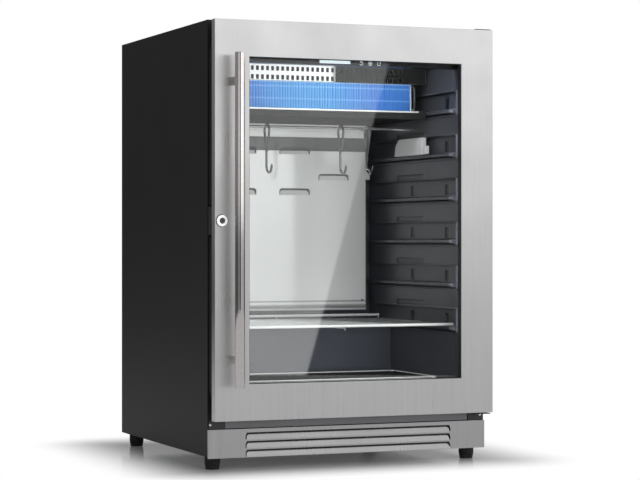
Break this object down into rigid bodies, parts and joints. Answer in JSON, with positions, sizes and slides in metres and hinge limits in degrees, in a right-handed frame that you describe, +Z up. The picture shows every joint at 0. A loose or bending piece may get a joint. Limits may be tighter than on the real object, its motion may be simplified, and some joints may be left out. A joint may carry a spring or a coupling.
{
  "type": "dry aging cabinet",
  "caption": "Undercounter dry aging cabinet: glazed steel door with bar handle and lock, wire shelf, hanging rail with hooks, drip tray, fan-cooled evaporator and machine space.",
  "frame": {"origin": "on the floor, in the middle of the unit's width and of its depth with the handle", "axes": "+Z up, -Y toward the door and the user, +X toward the hinge side"},
  "size_m": [0.595, 0.6538, 0.873],
  "materials": {
    "black_coat": "satin",
    "brushed_steel": "satin",
    "bright_steel": "polished",
    "plated_steel": "satin",
    "black_steel": "satin",
    "black_plastic": "satin",
    "liner_plastic": "satin",
    "grey_plastic": "satin",
    "white_plastic": "satin",
    "gasket_rubber": "matte",
    "glass": "polished",
    "blue_fins": "satin",
    "aluminium": "satin",
    "copper": "satin",
    "foam": "matte",
    "display": "gloss"
  },
  "bodies": {
    "cabinet": {"outer_wrap": "black_coat", "back_panel": "plated_steel", "machine_cover": "plated_steel", "base_tray": "plated_steel", "insulation_foam": "foam", "liner_tub": "liner_plastic", "rack_wall_left": "liner_plastic", "rack_wall_right": "liner_plastic", "bottom_front_rail": "plated_steel", "kick_plate": "brushed_steel", "lower_hinge_bracket": "black_steel", "upper_hinge_bracket": "black_steel", "left_filler_bracket": "black_steel", "lock_strike": "bright_steel", "control_fascia": "black_plastic", "display_window": "display", "light_bar": "white_plastic", "vent_grille": "grey_plastic", "evaporator_fins": "blue_fins", "evaporator_end_left": "aluminium", "evaporator_end_right": "aluminium", "return_bend": "aluminium", "evaporator_drip_pan": "bright_steel", "fan_bulkhead": "plated_steel", "evaporator_fan_frame": "black_plastic", "rear_air_panel": "bright_steel", "temperature_probe": "grey_plastic", "hanging_rail": "bright_steel", "sensor_housing": "grey_plastic", "sensor_cap": "white_plastic", "compressor": "black_steel", "condenser": "aluminium", "condenser_fan_frame": "black_plastic", "condensate_pan": "black_plastic", "control_box": "grey_plastic", "power_inlet": "black_plastic", "discharge_pipe": "copper"},
    "door": {"door_skin": "brushed_steel", "door_inner_frame": "black_plastic", "door_gasket": "gasket_rubber", "outer_glass": "glass", "inner_glass": "glass", "glass_spacer": "black_plastic", "glazing_bead": "gasket_rubber", "handle_bar": "bright_steel", "handle_post_upper": "bright_steel", "handle_post_lower": "bright_steel", "lock_body": "bright_steel"},
    "lock_plug": {"lock_plug": "plated_steel"},
    "wire_shelf": {"wire_shelf": "bright_steel"},
    "drip_tray": {"drip_tray": "bright_steel"},
    "meat_hook_1": {"meat_hook_1": "bright_steel"},
    "meat_hook_2": {"meat_hook_2": "bright_steel"},
    "meat_hook_3": {"meat_hook_3": "bright_steel"},
    "evaporator_fan_rotor": {"evaporator_fan_rotor": "black_plastic"},
    "condenser_fan_rotor": {"condenser_fan_rotor": "black_plastic"},
    "foot_front_left": {"foot_front_left": "black_plastic"},
    "foot_front_right": {"foot_front_right": "black_plastic"},
    "foot_back_left": {"foot_back_left": "black_plastic"},
    "foot_back_right": {"foot_back_right": "black_plastic"}
  },
  "joints": [
    {"name": "door_hinge", "type": "hinge", "parent": "cabinet", "child": "door", "pos_m": [0.284, -0.27063, 0.485], "axis": [0, 0, 1], "range_deg": [0, 110]},
    {"name": "lock_turn", "type": "hinge", "parent": "door", "child": "lock_plug", "pos_m": [-0.283, -0.28313, 0.484], "axis": [0, 1, 0], "range_deg": [0, 90]},
    {"name": "shelf_slide", "type": "slide", "parent": "cabinet", "child": "wire_shelf", "axis": [0, -1, 0], "range_m": [0, 0.116]},
    {"name": "tray_slide", "type": "slide", "parent": "cabinet", "child": "drip_tray", "axis": [0, -1, 0], "range_m": [0, 0.116]},
    {"name": "meat_hook_1_swing", "type": "hinge", "parent": "cabinet", "child": "meat_hook_1", "pos_m": [-0.089, -0.01312, 0.682], "axis": [1, 0, 0], "range_deg": [-25, 25]},
    {"name": "meat_hook_2_swing", "type": "hinge", "parent": "cabinet", "child": "meat_hook_2", "pos_m": [0.077, -0.01312, 0.682], "axis": [1, 0, 0], "range_deg": [-25, 25]},
    {"name": "meat_hook_3_swing", "type": "hinge", "parent": "cabinet", "child": "meat_hook_3", "pos_m": [0.1378, -0.01312, 0.682], "axis": [1, 0, 0], "range_deg": [-25, 25]},
    {"name": "evaporator_fan_spin", "type": "hinge", "parent": "cabinet", "child": "evaporator_fan_rotor", "pos_m": [0, 0.06087, 0.7665], "axis": [0, 1, 0], "continuous": true},
    {"name": "condenser_fan_spin", "type": "hinge", "parent": "cabinet", "child": "condenser_fan_rotor", "pos_m": [-0.1, -0.10862, 0.0668], "axis": [0, 1, 0], "continuous": true},
    {"name": "foot_front_left_screw", "type": "slide", "parent": "cabinet", "child": "foot_front_left", "axis": [0, 0, -1], "range_m": [0, 0.015]},
    {"name": "foot_front_right_screw", "type": "slide", "parent": "cabinet", "child": "foot_front_right", "axis": [0, 0, -1], "range_m": [0, 0.015]},
    {"name": "foot_back_left_screw", "type": "slide", "parent": "cabinet", "child": "foot_back_left", "axis": [0, 0, -1], "range_m": [0, 0.015]},
    {"name": "foot_back_right_screw", "type": "slide", "parent": "cabinet", "child": "foot_back_right", "axis": [0, 0, -1], "range_m": [0, 0.015]}
  ],
  "couplings": [
    {"joint": "shelf_slide", "follows": "door_hinge", "m_per_rad": 0.06},
    {"joint": "tray_slide", "follows": "door_hinge", "m_per_rad": 0.06}
  ]
}
